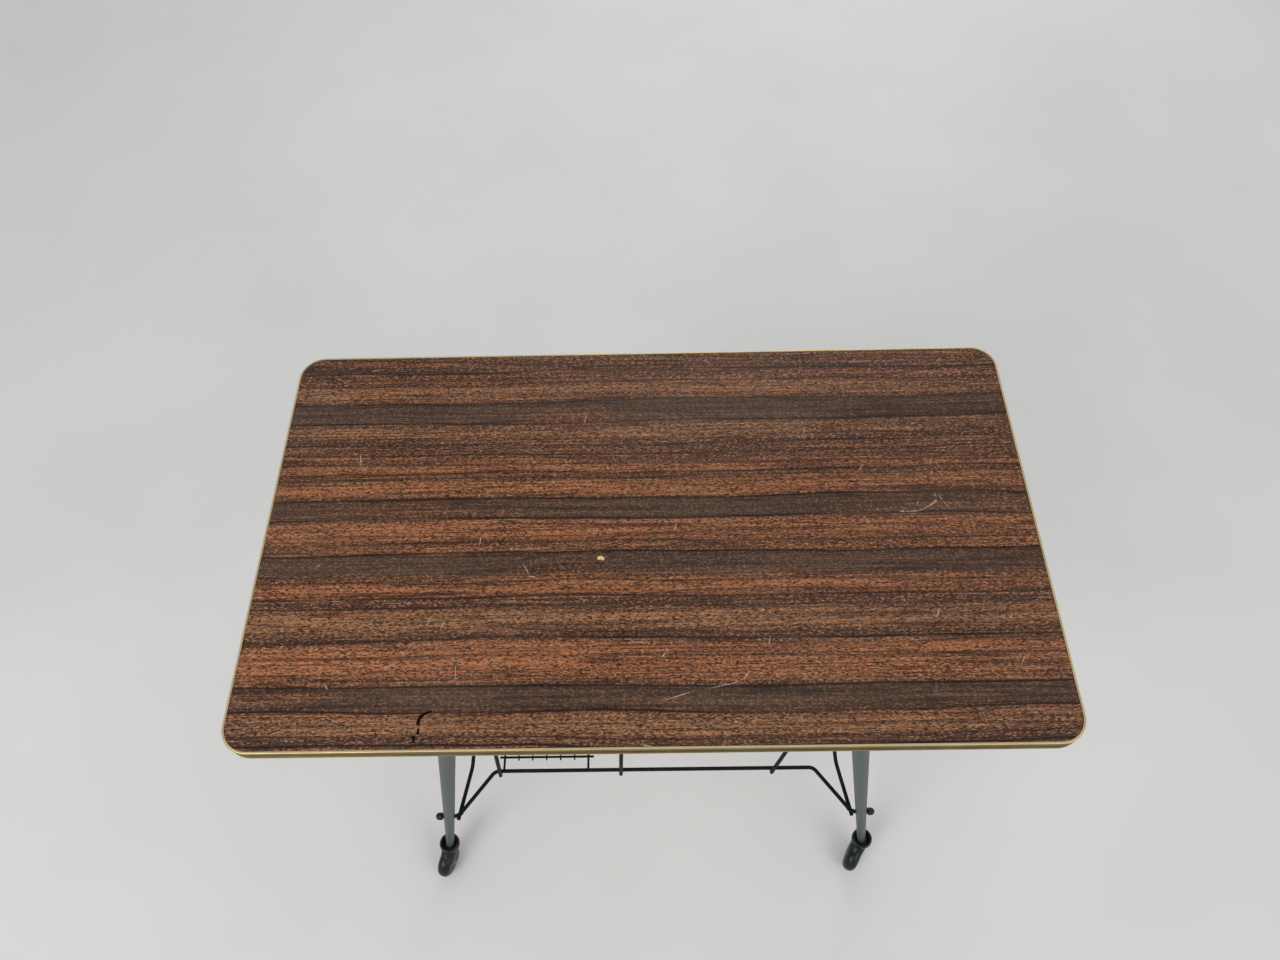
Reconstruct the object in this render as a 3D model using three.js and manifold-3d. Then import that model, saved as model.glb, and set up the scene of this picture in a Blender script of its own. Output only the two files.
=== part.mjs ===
// A typewriter table: a laminated top with a beaded metal edge, four splayed tapered tube
// legs on hooded casters, and a welded wire rack with upright dividers between the legs.
// Millimetres, +Z up. The origin is on the floor under the middle of the top, front at -Y.

import * as THREE from 'three';
import { mergeVertices } from 'three/addons/utils/BufferGeometryUtils.js';
import Module from 'manifold-3d';

const wasm = await Module();
wasm.setup();

// The top: a board, its laminate sheet and the metal strip knocked into the board's edge
const TABLE_HEIGHT = 650;
const TOP_LENGTH = 700;
const TOP_DEPTH = 400;
const TOP_CORNER_RADIUS = 24;
const BOARD_THICKNESS = 13;
const LAMINATE_THICKNESS = 1;
const TRIM_THICKNESS = 2;
const TRIM_BEAD_HEIGHT = 3.6;
const TRIM_BEAD_DEPTH = 0.9;
const TONGUE_LENGTH = 7;
const TONGUE_THICKNESS = 2;

// The legs: tapered tubes between the plates under the board and the casters
const LEG_TOP_INSET_X = 165;
const LEG_TOP_INSET_Y = 127;
const LEG_FOOT_INSET_X = 67.5;
const LEG_FOOT_INSET_Y = 30.5;
const LEG_TOP_DIAMETER = 29;
const LEG_END_DIAMETER = 11;
const LEG_WALL = 1.2;
const PLATE_SIZE = 76;
const PLATE_THICKNESS = 3;
const PLATE_CORNER_RADIUS = 9;
const SCREW_HOLE_DIAMETER = 5;
const SCREW_HOLE_INSET = 10;

// The rack: thick rods through the legs, hoops that divide it and a floor of thin wires
const RACK_HEIGHT = 146;
const RACK_DEPTH = 193;
const ROD_DIAMETER = 5;
const RAIL_BEND_INSET = 56;
const RAIL_STRAIGHT_END = 5;
const RAIL_BEND_RADIUS = 12;
const SIDE_RAIL_GAP = 1.5;
const SIDE_RAIL_BOW = 13;
const SIDE_RAIL_FLARE = 68;
const SIDE_RAIL_OVERHANG = 4;
const SIDE_RAIL_BEND_RADIUS = 60;
const NUT_DIAMETER = 9.6;
const NUT_SKIRT_LENGTH = 4;
const NUT_BORE_DEPTH = 6;
const DIVIDER_HEIGHT = 182;
const DIVIDER_BEND_RADIUS = 28;
const LEFT_DIVIDER_INSET = 7.2;
const RIGHT_DIVIDER_INSET = 54.61234;
const LEFT_BAY_WIDTH = 159;
const LEFT_DIVIDER_LEAN = 5.2;
const MIDDLE_DIVIDER_LEAN = 2.3;
const RIGHT_DIVIDER_LEAN = 3.7;
const GRID_WIRE_COUNT = 7;
const GRID_PITCH = 18.5;
const GRID_SIDE_OFFSET = 5;
const GRID_FRAME_DIAMETER = 3;
const GRID_WIRE_DIAMETER = 2;
const GRID_RAIL_DISTANCE = 17.5;
const GRID_CROSS_OVERHANG = 7;
const GRID_WIRE_OVERHANG = 5;

// The casters: a moulded hood with a cup round the leg's end, swivelling on an upright pin
const WHEEL_DIAMETER = 36;
const WHEEL_WIDTH = 11;
const WHEEL_EDGE_RADIUS = 3;
const WHEEL_RIM_THICKNESS = 4;
const WHEEL_HUB_DIAMETER = 11;
const WHEEL_RECESS_DEPTH = 2.5;
const AXLE_DIAMETER = 4;
const AXLE_HEAD_DIAMETER = 6.5;
const AXLE_HEAD_THICKNESS = 0.8;
const CASTER_TRAIL = 19;
const HOOD_WALL = 2.8;
const HOOD_EDGE_RADIUS = 6.5;
const HOOD_GROUND_CLEARANCE = 7;
const BOSS_THICKNESS = 9;
const CUP_WALL = 4.2;
const CUP_DEPTH = 11;
const PIN_DIAMETER = 6;
const PIN_HEAD_DIAMETER = 9;
const PIN_HEAD_THICKNESS = 2;
const PLUG_LENGTH = 25;
const WASHER_DIAMETER = 15;
const WASHER_THICKNESS = 2;

// Clearances: pieces that touch, the turning wheel, the leg's end in the caster's cup, and
// how far a cut runs past what it cuts
const GAP = 0.3;
const WHEEL_SIDE_CLEARANCE = 0.8;
const WHEEL_TREAD_CLEARANCE = 1.2;
const CUP_CLEARANCE = 1.5;
const OVERCUT = 5;

// The corners, and the way each caster points at rest, in degrees from +X
const CORNERS = [
  { name: 'front_left', sx: -1, sy: -1, heading: -108 },
  { name: 'front_right', sx: 1, sy: -1, heading: -118 },
  { name: 'back_left', sx: -1, sy: 1, heading: 118 },
  { name: 'back_right', sx: 1, sy: 1, heading: 108 },
];

// Fineness of the curves
const EDGE_CORNER_STEPS = 6;
const BEAD_STEPS = 4;
const BEND_STEPS = 4;
const ROD_SIDES = 8;
const WIRE_SIDES = 6;
const LEG_SIDES = 20;
const ROUND_SIDES = 16;
const WHEEL_SIDES = 20;
const FILLET_STEPS = 2;
const DOME_STEPS = 4;
const HOOD_ARC_STEPS = 7;

// Levels and places that follow from the driving dimensions
const rodRadius = ROD_DIAMETER / 2;
const frameRadius = GRID_FRAME_DIAMETER / 2;
const wireRadius = GRID_WIRE_DIAMETER / 2;
const wheelRadius = WHEEL_DIAMETER / 2;
const axleZ = wheelRadius;
const axleRadius = AXLE_DIAMETER / 2;
const pinRadius = PIN_DIAMETER / 2;
const pinHeadRadius = PIN_HEAD_DIAMETER / 2;

const laminateBottom = TABLE_HEIGHT - LAMINATE_THICKNESS;
const boardTop = laminateBottom - GAP;
const boardBottom = boardTop - BOARD_THICKNESS;
const plateTop = boardBottom - GAP;
const plateBottom = plateTop - PLATE_THICKNESS;
const legTop = plateBottom - GAP;

const cavityRadius = wheelRadius + WHEEL_TREAD_CLEARANCE;
const cavityHalfWidth = WHEEL_WIDTH / 2 + WHEEL_SIDE_CLEARANCE;
const hoodRadius = cavityRadius + HOOD_WALL;
const hoodHalfWidth = cavityHalfWidth + HOOD_WALL;
const pinHeadReach = Math.max(0, CASTER_TRAIL - pinHeadRadius);
const pinHeadBottom = axleZ + Math.sqrt(Math.max(0, cavityRadius ** 2 - pinHeadReach ** 2));
const pinHeadTop = pinHeadBottom + PIN_HEAD_THICKNESS;
const bossBottom = pinHeadTop + GAP;
const hoodTop = axleZ + hoodRadius;
const cupFloor = Math.max(bossBottom + BOSS_THICKNESS, hoodTop + 2 * GAP);
const cupRim = cupFloor + CUP_DEPTH;
const washerBottom = cupFloor + GAP;
const legEnd = washerBottom + WASHER_THICKNESS + GAP;

// The legs lean in from their feet to their tops, by a slope for each millimetre of height
const footX = TOP_LENGTH / 2 - LEG_FOOT_INSET_X;
const footY = TOP_DEPTH / 2 - LEG_FOOT_INSET_Y;
const legTopX = TOP_LENGTH / 2 - LEG_TOP_INSET_X;
const legTopY = TOP_DEPTH / 2 - LEG_TOP_INSET_Y;
const legSlopeX = (footX - legTopX) / (legTop - legEnd);
const legSlopeY = (footY - legTopY) / (legTop - legEnd);
const legSlope = Math.hypot(legSlopeX, legSlopeY);
const legStretch = Math.hypot(1, legSlope);

function legAxisX(z) {
  return footX - legSlopeX * (z - legEnd);
}

function legAxisY(z) {
  return footY - legSlopeY * (z - legEnd);
}

function legRadius(z) {
  const share = (z - legEnd) / (legTop - legEnd);
  return (LEG_END_DIAMETER + (LEG_TOP_DIAMETER - LEG_END_DIAMETER) * share) / 2;
}

const cupRadius = legRadius(cupRim) * legStretch + legSlope * (cupRim - legEnd) + CUP_CLEARANCE;
const cupOuterRadius = cupRadius + CUP_WALL;

// Where the rack meets the legs, and the lines of its rods
const pinX = legAxisX(RACK_HEIGHT);
const pinY = legAxisY(RACK_HEIGHT);
const legHalfWidth = legRadius(RACK_HEIGHT) * legStretch;
const railY = RACK_DEPTH / 2;
const railBendX = pinX - RAIL_BEND_INSET;
const railEntryX = pinX - legHalfWidth - RAIL_STRAIGHT_END;
const nutBaseX = pinX + legHalfWidth + legSlopeX * NUT_DIAMETER / 2 + GAP;
const sideRailEndX = pinX - legHalfWidth - SIDE_RAIL_GAP - rodRadius;
const sideRailZ = RACK_HEIGHT - ROD_DIAMETER - GAP;
const dividerY = railY + ROD_DIAMETER + GAP;
const leftDividerX = LEFT_DIVIDER_INSET - railBendX;
const middleDividerX = leftDividerX + LEFT_BAY_WIDTH;
const rightDividerX = railBendX - RIGHT_DIVIDER_INSET;
const gridLeftX = leftDividerX + GRID_SIDE_OFFSET;
const gridFrameZ = RACK_HEIGHT + rodRadius + frameRadius + GAP;
const gridCrossZ = gridFrameZ - GRID_FRAME_DIAMETER - GAP;
const gridWireZ = gridCrossZ + frameRadius + wireRadius + GAP;
const gridCrossY = railY - GRID_RAIL_DISTANCE;

const FINISHES = {
  laminate: { color: 0x6f4a38, roughness: 0.45, metalness: 0 },
  board: { color: 0xa98a62, roughness: 0.9, metalness: 0 },
  brass: { color: 0xb89a5a, roughness: 0.35, metalness: 0.9 },
  enamel: { color: 0x5c666b, roughness: 0.4, metalness: 0.2 },
  wire: { color: 0x25282a, roughness: 0.5, metalness: 0.3 },
  steel: { color: 0x9a9a98, roughness: 0.4, metalness: 0.9 },
  plastic: { color: 0x15191c, roughness: 0.4, metalness: 0 },
  tyre: { color: 0x2b2b2c, roughness: 0.7, metalness: 0 },
};

const table = new THREE.Group();

function addMesh(parent, name, geometry, finish) {
  const mesh = new THREE.Mesh(geometry, new THREE.MeshStandardMaterial(FINISHES[finish]));
  mesh.name = name;
  parent.add(mesh);
  return mesh;
}

// Joining and cutting: a closed geometry becomes a solid and comes back as one
function solidOf(geometry) {
  const bare = geometry.clone();
  bare.deleteAttribute('normal');
  bare.deleteAttribute('uv');
  const merged = mergeVertices(bare, 1e-4);
  const corners = Array.from(merged.index.array);
  const kept = [];
  for (let i = 0; i < corners.length; i += 3) {
    const [a, b, c] = corners.slice(i, i + 3);
    if (a !== b && b !== c && c !== a) kept.push(a, b, c);
  }
  return new wasm.Manifold(new wasm.Mesh({
    numProp: 3,
    vertProperties: new Float32Array(merged.attributes.position.array),
    triVerts: new Uint32Array(kept),
  }));
}

function geometryOf(solid) {
  const mesh = solid.getMesh();
  const geometry = new THREE.BufferGeometry();
  geometry.setAttribute('position', new THREE.BufferAttribute(mesh.vertProperties, 3));
  geometry.setIndex(new THREE.BufferAttribute(mesh.triVerts, 1));
  return geometry;
}

function vectors2(pairs) {
  return pairs.map(([x, y]) => new THREE.Vector2(x, y));
}

// A turned piece about +Z: pairs of radius and height, up the outside
function turnedZ(pairs, sides) {
  return new THREE.LatheGeometry(vectors2(pairs), sides).rotateX(Math.PI / 2);
}

// A ring turned about +Z with a square section
function ringZ(innerRadius, outerRadius, bottom, top, sides) {
  const section = [
    [innerRadius, bottom],
    [outerRadius, bottom],
    [outerRadius, top],
    [innerRadius, top],
    [innerRadius, bottom],
  ];
  return turnedZ(section, sides);
}

// An upright round bar, for pins and for the cuts that clear them
function barZ(radius, bottom, top) {
  const bar = new THREE.CylinderGeometry(radius, radius, top - bottom, ROUND_SIDES);
  return bar.rotateX(Math.PI / 2).translate(0, 0, (bottom + top) / 2);
}

// One loop of the top's rounded outline, drawn in from its outermost edge
function edgeLoop(inset, z) {
  const radius = Math.max(TOP_CORNER_RADIUS - inset, GAP);
  const centreX = TOP_LENGTH / 2 - inset - radius;
  const centreY = TOP_DEPTH / 2 - inset - radius;
  const signs = [[1, 1], [-1, 1], [-1, -1], [1, -1]];
  const loop = [];
  signs.forEach(([sx, sy], quarter) => {
    for (let step = 0; step <= EDGE_CORNER_STEPS; step += 1) {
      const angle = (quarter + step / EDGE_CORNER_STEPS) * Math.PI / 2;
      const x = sx * centreX + radius * Math.cos(angle);
      const y = sy * centreY + radius * Math.sin(angle);
      loop.push(x, y, z);
    }
  });
  return loop;
}

// A profile of insets and heights carried round the outline, up its outside. A closed
// profile makes a strip all round, and an open one a sheet with flat faces.
function aroundEdge(profile, closed) {
  const loops = profile.map(([inset, z]) => edgeLoop(inset, z));
  const count = 4 * (EDGE_CORNER_STEPS + 1);
  const faces = [];
  const bands = closed ? profile.length : profile.length - 1;
  for (let band = 0; band < bands; band += 1) {
    const low = band * count;
    const high = ((band + 1) % profile.length) * count;
    for (let i = 0; i < count; i += 1) {
      const next = (i + 1) % count;
      faces.push(low + i, low + next, high + next, low + i, high + next, high + i);
    }
  }
  if (!closed) {
    const last = (profile.length - 1) * count;
    for (let i = 1; i < count - 1; i += 1) {
      faces.push(0, i + 1, i, last, last + i, last + i + 1);
    }
  }
  const geometry = new THREE.BufferGeometry();
  geometry.setAttribute('position', new THREE.Float32BufferAttribute(loops.flat(), 3));
  geometry.setIndex(faces);
  return geometry;
}

// A half-round bead on the strip's outer face
function beadProfile(middle) {
  const points = [];
  for (let step = 0; step <= BEAD_STEPS; step += 1) {
    const angle = (step / BEAD_STEPS - 0.5) * Math.PI;
    const inset = TRIM_BEAD_DEPTH * (1 - Math.cos(angle));
    points.push([inset, middle + TRIM_BEAD_HEIGHT / 2 * Math.sin(angle)]);
  }
  return points;
}

// The top: the strip's tongue sits in a groove run round the board's edge
function addTop() {
  const tongueMiddle = (boardTop + boardBottom) / 2;
  const tongueTop = tongueMiddle + TONGUE_THICKNESS / 2;
  const tongueBottom = tongueMiddle - TONGUE_THICKNESS / 2;
  const tongueTip = TRIM_THICKNESS + TONGUE_LENGTH;
  const boardEdge = TRIM_THICKNESS + GAP;
  const board = [
    [boardEdge, boardBottom],
    [boardEdge, tongueBottom - GAP],
    [tongueTip + GAP, tongueBottom - GAP],
    [tongueTip + GAP, tongueTop + GAP],
    [boardEdge, tongueTop + GAP],
    [boardEdge, boardTop],
  ];
  const laminate = [
    [boardEdge, laminateBottom],
    [boardEdge, TABLE_HEIGHT],
  ];
  const strip = [
    ...beadProfile(boardBottom + TRIM_BEAD_HEIGHT / 2),
    ...beadProfile(TABLE_HEIGHT - TRIM_BEAD_HEIGHT / 2),
    [TRIM_THICKNESS, TABLE_HEIGHT],
    [TRIM_THICKNESS, tongueTop],
    [tongueTip, tongueTop],
    [tongueTip, tongueBottom],
    [TRIM_THICKNESS, tongueBottom],
    [TRIM_THICKNESS, boardBottom],
  ];
  addMesh(table, 'top_board', aroundEdge(board, false), 'board');
  addMesh(table, 'top_laminate', aroundEdge(laminate, false), 'laminate');
  addMesh(table, 'edge_trim', aroundEdge(strip, true), 'brass');
}

// A pressed plate with four screw holes, under the board over each leg
function plateGeometry() {
  const half = PLATE_SIZE / 2;
  const r = PLATE_CORNER_RADIUS;
  const outline = new THREE.Shape();
  outline.absarc(half - r, half - r, r, 0, Math.PI / 2);
  outline.absarc(r - half, half - r, r, Math.PI / 2, Math.PI);
  outline.absarc(r - half, r - half, r, Math.PI, Math.PI * 1.5);
  outline.absarc(half - r, r - half, r, Math.PI * 1.5, Math.PI * 2);
  const reach = half - SCREW_HOLE_INSET;
  for (const [sx, sy] of [[1, 1], [-1, 1], [-1, -1], [1, -1]]) {
    const hole = new THREE.Path();
    hole.absarc(sx * reach, sy * reach, SCREW_HOLE_DIAMETER / 2, 0, Math.PI * 2, true);
    outline.holes.push(hole);
  }
  return new THREE.ExtrudeGeometry(outline, {
    depth: PLATE_THICKNESS,
    bevelEnabled: false,
    curveSegments: FILLET_STEPS + 1,
  });
}

// A turned piece laid along a leg's axis, heights counted from the leg's end
function alongLeg(pairs, corner) {
  const up = new THREE.Vector3(-corner.sx * legSlopeX, -corner.sy * legSlopeY, 1).normalize();
  const turn = new THREE.Quaternion().setFromUnitVectors(new THREE.Vector3(0, 1, 0), up);
  const foot = new THREE.Vector3(corner.sx * footX, corner.sy * footY, legEnd);
  const place = new THREE.Matrix4().compose(foot, turn, new THREE.Vector3(1, 1, 1));
  return new THREE.LatheGeometry(vectors2(pairs), LEG_SIDES).applyMatrix4(place);
}

// A tapered tube, cut level at both ends and drilled across for the rail
function legGeometry(corner) {
  const start = legEnd - LEG_TOP_DIAMETER;
  const end = legTop + LEG_TOP_DIAMETER;
  const low = (start - legEnd) * legStretch;
  const high = (end - legEnd) * legStretch;
  const tube = solidOf(alongLeg([
    [legRadius(start) - LEG_WALL, low],
    [legRadius(start), low],
    [legRadius(end), high],
    [legRadius(end) - LEG_WALL, high],
    [legRadius(start) - LEG_WALL, low],
  ], corner));
  const slab = new THREE.BoxGeometry(2 * TOP_LENGTH, 2 * TOP_DEPTH, legTop - legEnd);
  slab.translate(0, 0, (legTop + legEnd) / 2);
  const drillRadius = rodRadius + GAP;
  const drill = new THREE.CylinderGeometry(drillRadius, drillRadius, 4 * legHalfWidth, ROUND_SIDES);
  drill.rotateZ(Math.PI / 2).translate(corner.sx * pinX, corner.sy * pinY, RACK_HEIGHT);
  return geometryOf(tube.intersect(solidOf(slab)).subtract(solidOf(drill)));
}

// The caster's pin: a plug in line with the leg, an upright shank and a head under the boss
function pivotPinGeometry(corner) {
  const plugRadius = legRadius(legEnd) - LEG_WALL - GAP;
  const plugStart = plugRadius * legSlope + GAP;
  const plug = alongLeg([
    [0, plugStart],
    [plugRadius, plugStart],
    [plugRadius, PLUG_LENGTH],
    [0, PLUG_LENGTH],
  ], corner);
  const shankTop = legEnd + 2 * plugStart + GAP;
  const shank = barZ(pinRadius, pinHeadBottom, shankTop);
  const head = barZ(pinHeadRadius, pinHeadBottom, pinHeadTop);
  const upright = solidOf(shank).add(solidOf(head));
  const foot = [corner.sx * footX, corner.sy * footY, 0];
  return geometryOf(upright.translate(foot).add(solidOf(plug)));
}

// The hood: one moulding with the wheel's guard, the boss for the pin and the leg's cup
function hoodGeometry() {
  const neck = hoodHalfWidth;
  const rear = THREE.MathUtils.degToRad(170);
  const outline = new THREE.Shape();
  outline.moveTo(-neck, cupFloor);
  outline.lineTo(-neck, bossBottom - GAP);
  outline.absarc(CASTER_TRAIL, axleZ, hoodRadius, rear, Math.PI * 2.5);
  outline.lineTo(neck, cupFloor);
  const guard = new THREE.ExtrudeGeometry(outline, {
    depth: 2 * (hoodHalfWidth - HOOD_EDGE_RADIUS),
    bevelThickness: HOOD_EDGE_RADIUS,
    bevelSize: HOOD_EDGE_RADIUS,
    bevelOffset: -HOOD_EDGE_RADIUS,
    bevelSegments: FILLET_STEPS,
    curveSegments: HOOD_ARC_STEPS,
  });
  guard.translate(0, 0, HOOD_EDGE_RADIUS - hoodHalfWidth).rotateX(Math.PI / 2);
  const lip = CUP_WALL / 3;
  const cup = turnedZ([
    [0, bossBottom + GAP],
    [neck - 2 * GAP, bossBottom + GAP],
    [neck - GAP, cupFloor - CUP_WALL],
    [cupOuterRadius, cupFloor + lip],
    [cupOuterRadius, cupRim - lip],
    [cupOuterRadius - lip, cupRim],
    [cupRadius + lip / 2, cupRim],
    [cupRadius, cupRim - lip],
    [cupRadius, cupFloor],
    [0, cupFloor],
  ], ROUND_SIDES);
  const cutWidth = 4 * hoodRadius;
  const ground = new THREE.BoxGeometry(cutWidth, cutWidth, cutWidth);
  ground.translate(CASTER_TRAIL, 0, HOOD_GROUND_CLEARANCE - cutWidth / 2);
  const axleHole = new THREE.CylinderGeometry(
    axleRadius + GAP, axleRadius + GAP, 2 * hoodHalfWidth + OVERCUT, ROUND_SIDES);
  axleHole.translate(CASTER_TRAIL, 0, axleZ);
  const recess = barZ(pinHeadRadius + 2 * GAP, 0, bossBottom);
  const bore = barZ(pinRadius + GAP, 0, cupFloor + OVERCUT);
  const cavity = wheelSpace().translate(CASTER_TRAIL, 0, axleZ);
  let hood = solidOf(guard).add(solidOf(cup));
  for (const cut of [ground, axleHole, recess, bore, cavity, barZ(cupRadius, cupFloor, cupRim)]) {
    hood = hood.subtract(solidOf(cut));
  }
  return geometryOf(hood);
}

// Half of a tread's section, from the middle out: flat, then rounded to its side
function treadProfile(radius, halfWidth, edgeRadius) {
  const points = [];
  for (let step = 0; step <= FILLET_STEPS; step += 1) {
    const angle = step / FILLET_STEPS * Math.PI / 2;
    const drop = edgeRadius * (1 - Math.cos(angle));
    points.push([radius - drop, halfWidth - edgeRadius * (1 - Math.sin(angle))]);
  }
  return points;
}

// The outermost ring of the wheel rests on a flat of its many sides
function turnedWheel(section) {
  const start = Math.PI / WHEEL_SIDES;
  const grown = section.map(([radius, y]) => [radius / Math.cos(start), y]);
  return new THREE.LatheGeometry(vectors2(grown), WHEEL_SIDES, start);
}

function wheelSpace() {
  const upper = treadProfile(cavityRadius, cavityHalfWidth, WHEEL_EDGE_RADIUS);
  const lower = upper.map(([radius, y]) => [radius, -y]).reverse();
  return turnedWheel([[0, -cavityHalfWidth], ...lower, ...upper, [0, cavityHalfWidth]]);
}

function wheelGeometry() {
  const half = WHEEL_WIDTH / 2;
  const web = half - WHEEL_RECESS_DEPTH;
  const bore = axleRadius + GAP;
  const hub = WHEEL_HUB_DIAMETER / 2;
  const rim = wheelRadius - WHEEL_RIM_THICKNESS;
  const upper = [
    ...treadProfile(wheelRadius, half, WHEEL_EDGE_RADIUS),
    [rim, half],
    [rim - GAP, web],
    [hub + GAP, web],
    [hub, half],
    [bore, half],
  ];
  const lower = upper.map(([radius, y]) => [radius, -y]).reverse();
  return turnedWheel([...lower, ...upper, lower[0]]);
}

// The axle: a rivet through both walls of the hood
function axleGeometry() {
  const shoulder = hoodHalfWidth + GAP;
  const end = shoulder + AXLE_HEAD_THICKNESS;
  const upper = [
    [axleRadius, shoulder],
    [AXLE_HEAD_DIAMETER / 2, shoulder],
    [axleRadius, end],
    [0, end],
  ];
  const lower = upper.map(([radius, y]) => [radius, -y]).reverse();
  return new THREE.LatheGeometry(vectors2([...lower, ...upper]), ROUND_SIDES / 2);
}

// A leg with its plate, pin and washer, and the caster that swivels on it
function addCorner(corner, shared) {
  const { name, sx, sy } = corner;
  const plate = addMesh(table, `leg_plate_${name}`, shared.plate, 'steel');
  plate.position.set(sx * legTopX, sy * legTopY, plateBottom);
  addMesh(table, `leg_${name}`, legGeometry(corner), 'enamel');
  addMesh(table, `pivot_pin_${name}`, pivotPinGeometry(corner), 'steel');
  const washer = addMesh(table, `thrust_washer_${name}`, shared.washer, 'steel');
  washer.position.set(sx * footX, sy * footY, washerBottom);
  const caster = new THREE.Group();
  caster.position.set(sx * footX, sy * footY, 0);
  caster.rotation.z = THREE.MathUtils.degToRad(corner.heading);
  table.add(caster);
  addMesh(caster, `caster_hood_${name}`, shared.hood, 'plastic');
  for (const [part, finish] of [['axle', 'steel'], ['wheel', 'tyre']]) {
    const mesh = addMesh(caster, `caster_${part}_${name}`, shared[part], finish);
    mesh.position.set(CASTER_TRAIL, 0, axleZ);
  }
  const nut = addMesh(table, `cap_nut_${name}`, shared.nut, 'plastic');
  nut.position.set(sx * nutBaseX, sy * pinY, RACK_HEIGHT);
  nut.rotation.z = sx < 0 ? Math.PI / 2 : -Math.PI / 2;
}

function addCorners() {
  const shared = {
    plate: plateGeometry(),
    washer: ringZ(pinRadius + GAP, WASHER_DIAMETER / 2, 0, WASHER_THICKNESS, ROUND_SIDES),
    hood: hoodGeometry(),
    axle: axleGeometry(),
    wheel: wheelGeometry(),
    nut: nutGeometry(),
  };
  for (const corner of CORNERS) addCorner(corner, shared);
}

// A domed cap nut about +Y, from its flat end on the leg to its round one, with a blind bore
function nutGeometry() {
  const radius = NUT_DIAMETER / 2;
  const bore = rodRadius + GAP;
  const section = [[0, NUT_BORE_DEPTH], [bore, NUT_BORE_DEPTH], [bore, 0], [radius, 0]];
  for (let step = 0; step < DOME_STEPS; step += 1) {
    const angle = Math.PI / 2 * step / DOME_STEPS;
    section.push([radius * Math.cos(angle), NUT_SKIRT_LENGTH + radius * Math.sin(angle)]);
  }
  section.push([0, NUT_SKIRT_LENGTH + radius]);
  return new THREE.LatheGeometry(vectors2(section), ROUND_SIDES);
}

// A bent rod's centre line: straight runs with a round bend at each inner corner, one step
// of the line for each point
class RodLine extends THREE.Curve {
  constructor(corners, bendRadius) {
    super();
    this.points = [corners[0]];
    for (let i = 1; i < corners.length - 1; i += 1) {
      this.points.push(...RodLine.bend(corners[i - 1], corners[i], corners[i + 1], bendRadius));
    }
    this.points.push(corners.at(-1));
  }

  static bend(before, corner, after, radius) {
    const back = before.clone().sub(corner).normalize();
    const onward = after.clone().sub(corner).normalize();
    const half = back.angleTo(onward) / 2;
    const middle = back.clone().add(onward).normalize();
    const centre = corner.clone().addScaledVector(middle, radius / Math.sin(half));
    const inward = middle.clone().negate();
    const along = onward.clone().addScaledVector(middle, -onward.dot(middle)).normalize();
    const sweep = Math.PI / 2 - half;
    const points = [];
    for (let step = 0; step <= BEND_STEPS; step += 1) {
      const angle = sweep * (2 * step / BEND_STEPS - 1);
      const arm = inward.clone().multiplyScalar(Math.cos(angle));
      arm.addScaledVector(along, Math.sin(angle));
      points.push(centre.clone().addScaledVector(arm, radius));
    }
    return points;
  }

  get steps() {
    return this.points.length - 1;
  }

  getUtoTmapping(u) {
    return u;
  }

  getPoint(t) {
    const place = t * this.steps;
    const index = Math.min(Math.floor(place), this.steps - 1);
    return this.points[index].clone().lerp(this.points[index + 1], place - index);
  }
}

function rodGeometry(corners, bendRadius, diameter, sides) {
  const line = new RodLine(corners, bendRadius);
  const section = new THREE.Shape().absarc(0, 0, diameter / 2, 0, Math.PI * 2);
  return new THREE.ExtrudeGeometry(section, {
    steps: line.steps,
    extrudePath: line,
    curveSegments: sides / 2,
  });
}

function straightRod(start, end, diameter, sides) {
  const line = new THREE.LineCurve3(start, end);
  const section = new THREE.Shape().absarc(0, 0, diameter / 2, 0, Math.PI * 2);
  return new THREE.ExtrudeGeometry(section, {
    steps: 1,
    extrudePath: line,
    curveSegments: sides / 2,
  });
}

function vector3(x, y, z) {
  return new THREE.Vector3(x, y, z);
}

// The front and back rails: each end runs straight through a leg into its cap nut
function addCrossRail(name, sy) {
  const tipX = nutBaseX + NUT_BORE_DEPTH - GAP;
  const half = [
    [tipX, pinY],
    [railEntryX, pinY],
    [railBendX, railY],
  ];
  const other = half.map(([x, y]) => [-x, y]).reverse();
  const corners = [...half, ...other].map(([x, y]) => vector3(x, sy * y, RACK_HEIGHT));
  addMesh(table, name, rodGeometry(corners, RAIL_BEND_RADIUS, ROD_DIAMETER, ROD_SIDES), 'wire');
}

// The side rails, under the cross rails, flare out to their ends beside the legs
function addSideRail(name, sx) {
  const endY = pinY + SIDE_RAIL_OVERHANG;
  const half = [
    [sideRailEndX, endY],
    [sideRailEndX - SIDE_RAIL_BOW, endY - SIDE_RAIL_FLARE],
  ];
  const other = half.map(([x, y]) => [x, -y]).reverse();
  const corners = [...half, ...other].map(([x, y]) => vector3(sx * x, y, sideRailZ));
  const geometry = rodGeometry(corners, SIDE_RAIL_BEND_RADIUS, ROD_DIAMETER, ROD_SIDES);
  addMesh(table, name, geometry, 'wire');
}

// The dividers: hoops welded outside the cross rails, leaning a little to the right
function addDivider(name, x, leanDegrees) {
  const corners = [
    vector3(0, -dividerY, -rodRadius),
    vector3(0, -dividerY, DIVIDER_HEIGHT),
    vector3(0, dividerY, DIVIDER_HEIGHT),
    vector3(0, dividerY, -rodRadius),
  ];
  const geometry = rodGeometry(corners, DIVIDER_BEND_RADIUS, ROD_DIAMETER, ROD_SIDES);
  const hoop = addMesh(table, name, geometry, 'wire');
  hoop.position.set(x, 0, RACK_HEIGHT);
  hoop.rotation.y = THREE.MathUtils.degToRad(leanDegrees);
}

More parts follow.
